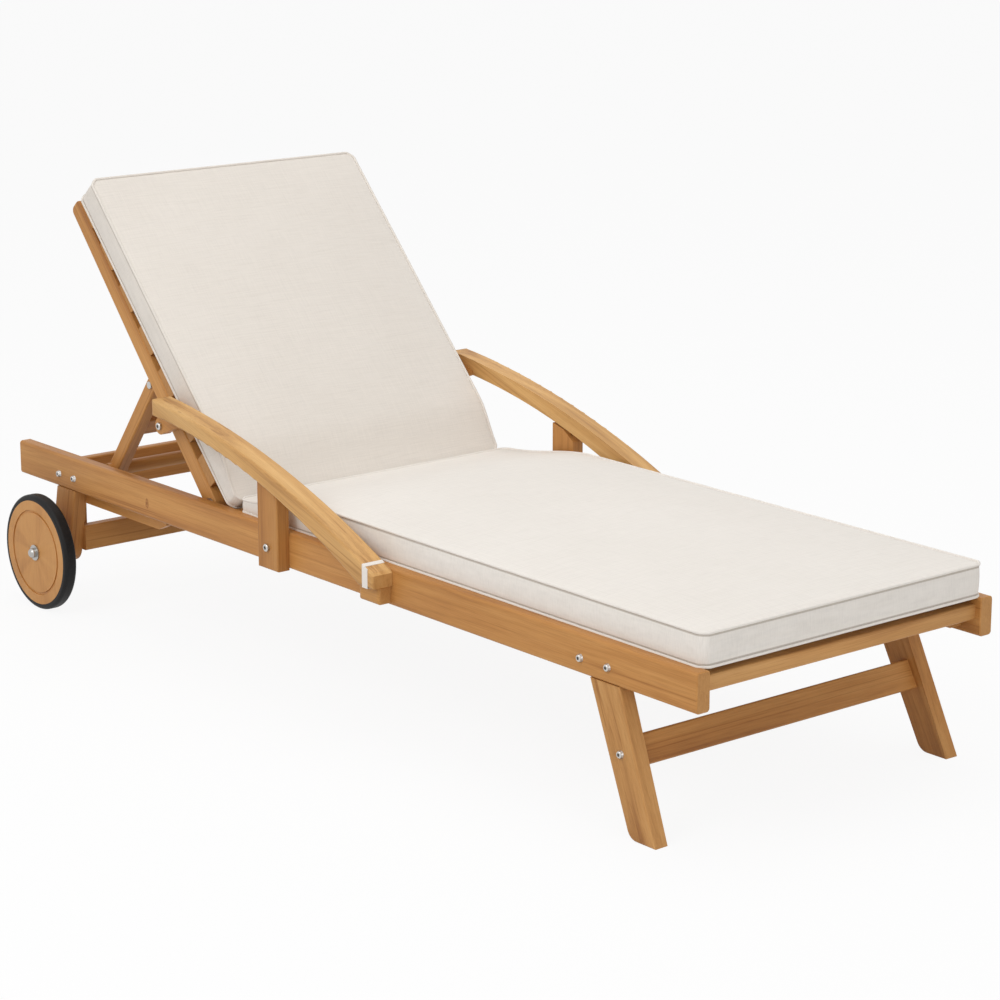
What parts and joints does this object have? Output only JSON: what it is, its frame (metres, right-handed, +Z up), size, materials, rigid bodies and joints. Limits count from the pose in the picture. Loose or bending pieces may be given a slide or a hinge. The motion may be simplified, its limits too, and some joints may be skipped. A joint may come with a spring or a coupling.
{
  "type": "wooden sun lounger",
  "caption": "Wooden sun lounger with a reclining slatted back linked to swinging arms, a folding prop, two wheels at the head end, and piped seat and back cushions.",
  "frame": {"origin": "on the ground, at the middle of the lounger's length and width", "axes": "+Z up, +Y towards the head end with the wheels, +X to the left of a person lying on it"},
  "size_m": [0.8236, 1.975, 0.8509],
  "materials": {
    "wood": "oiled",
    "cushion_fabric": "woven",
    "tyre": "matt",
    "steel": "satin",
    "cap_steel": "polished",
    "band": "woven"
  },
  "bodies": {
    "arm_left_swing": {"arm_band_left": "band", "arm_left": "wood", "arm_lug_left": "wood"},
    "arm_right_swing": {"arm_band_right": "band", "arm_lug_right": "wood", "arm_right": "wood"},
    "back": {"arm_pivot_bolts": "steel", "back_cushion": "cushion_fabric", "back_slat_1": "wood", "back_slat_2": "wood", "back_slat_3": "wood", "back_slat_4": "wood", "back_slat_5": "wood", "back_slat_6": "wood", "back_slat_7": "wood", "back_stile_left": "wood", "back_stile_right": "wood", "prop_bolts": "steel", "prop_hinge_rail": "wood"},
    "frame": {"arm_rest_block_left": "wood", "arm_rest_block_right": "wood", "axle_cap_nuts": "cap_steel", "foot_crossbar": "wood", "frame_bolts": "steel", "front_leg_left": "wood", "front_leg_right": "wood", "front_stretcher": "wood", "hinge_pins": "steel", "mid_crossbar": "wood", "notch_board_left": "wood", "notch_board_right": "wood", "post_pivot_bolts": "steel", "rear_crossbar_1": "wood", "rear_crossbar_2": "wood", "rear_leg_left": "wood", "rear_leg_right": "wood", "rear_stretcher": "wood", "seat_cushion": "cushion_fabric", "seat_ledger_left": "wood", "seat_ledger_right": "wood", "seat_slats": "wood", "side_rail_left": "wood", "side_rail_right": "wood", "wheel_axles": "steel"},
    "post_left_swing": {"post_left": "wood"},
    "post_right_swing": {"post_right": "wood"},
    "prop": {"prop_foot_bar": "wood", "prop_strut_left": "wood", "prop_strut_right": "wood", "prop_upper_bar": "wood"},
    "wheel_left": {"tyre_left": "tyre", "wheel_disc_left": "wood"},
    "wheel_right": {"tyre_right": "tyre", "wheel_disc_right": "wood"}
  },
  "joints": [
    {"name": "back_recline", "type": "hinge", "parent": "frame", "child": "back", "pos_m": [0, 0.3555, 0.29], "axis": [1, 0, 0], "range_deg": [-38.8, 0]},
    {"name": "prop_fold", "type": "hinge", "parent": "back", "child": "prop", "pos_m": [0, 0.56486, 0.47753], "axis": [1, 0, 0], "range_deg": [0, 92.34]},
    {"name": "arm_left_pivot", "type": "hinge", "parent": "back", "child": "arm_left_swing", "pos_m": [0.32, 0.47011, 0.42092], "axis": [1, 0, 0], "range_deg": [0, 25.88]},
    {"name": "post_left_pivot", "type": "hinge", "parent": "frame", "child": "post_left_swing", "pos_m": [0.343, 0.0925, 0.272], "axis": [1, 0, 0], "range_deg": [-28.25, 0]},
    {"name": "wheel_left_spin", "type": "hinge", "parent": "frame", "child": "wheel_left", "pos_m": [0.385, 0.8265, 0.114], "axis": [1, 0, 0], "continuous": true},
    {"name": "arm_right_pivot", "type": "hinge", "parent": "back", "child": "arm_right_swing", "pos_m": [-0.32, 0.47011, 0.42092], "axis": [1, 0, 0], "range_deg": [0, 25.88]},
    {"name": "post_right_pivot", "type": "hinge", "parent": "frame", "child": "post_right_swing", "pos_m": [-0.343, 0.0925, 0.272], "axis": [1, 0, 0], "range_deg": [-28.25, 0]},
    {"name": "wheel_right_spin", "type": "hinge", "parent": "frame", "child": "wheel_right", "pos_m": [-0.385, 0.8265, 0.114], "axis": [1, 0, 0], "continuous": true}
  ],
  "couplings": [
    {"joint": "prop_fold", "follows": "back_recline", "ratio": -2.38},
    {"joint": "arm_left_pivot", "follows": "back_recline", "ratio": -0.667},
    {"joint": "post_left_pivot", "follows": "back_recline", "ratio": 0.728},
    {"joint": "arm_right_pivot", "follows": "back_recline", "ratio": -0.667},
    {"joint": "post_right_pivot", "follows": "back_recline", "ratio": 0.728}
  ]
}
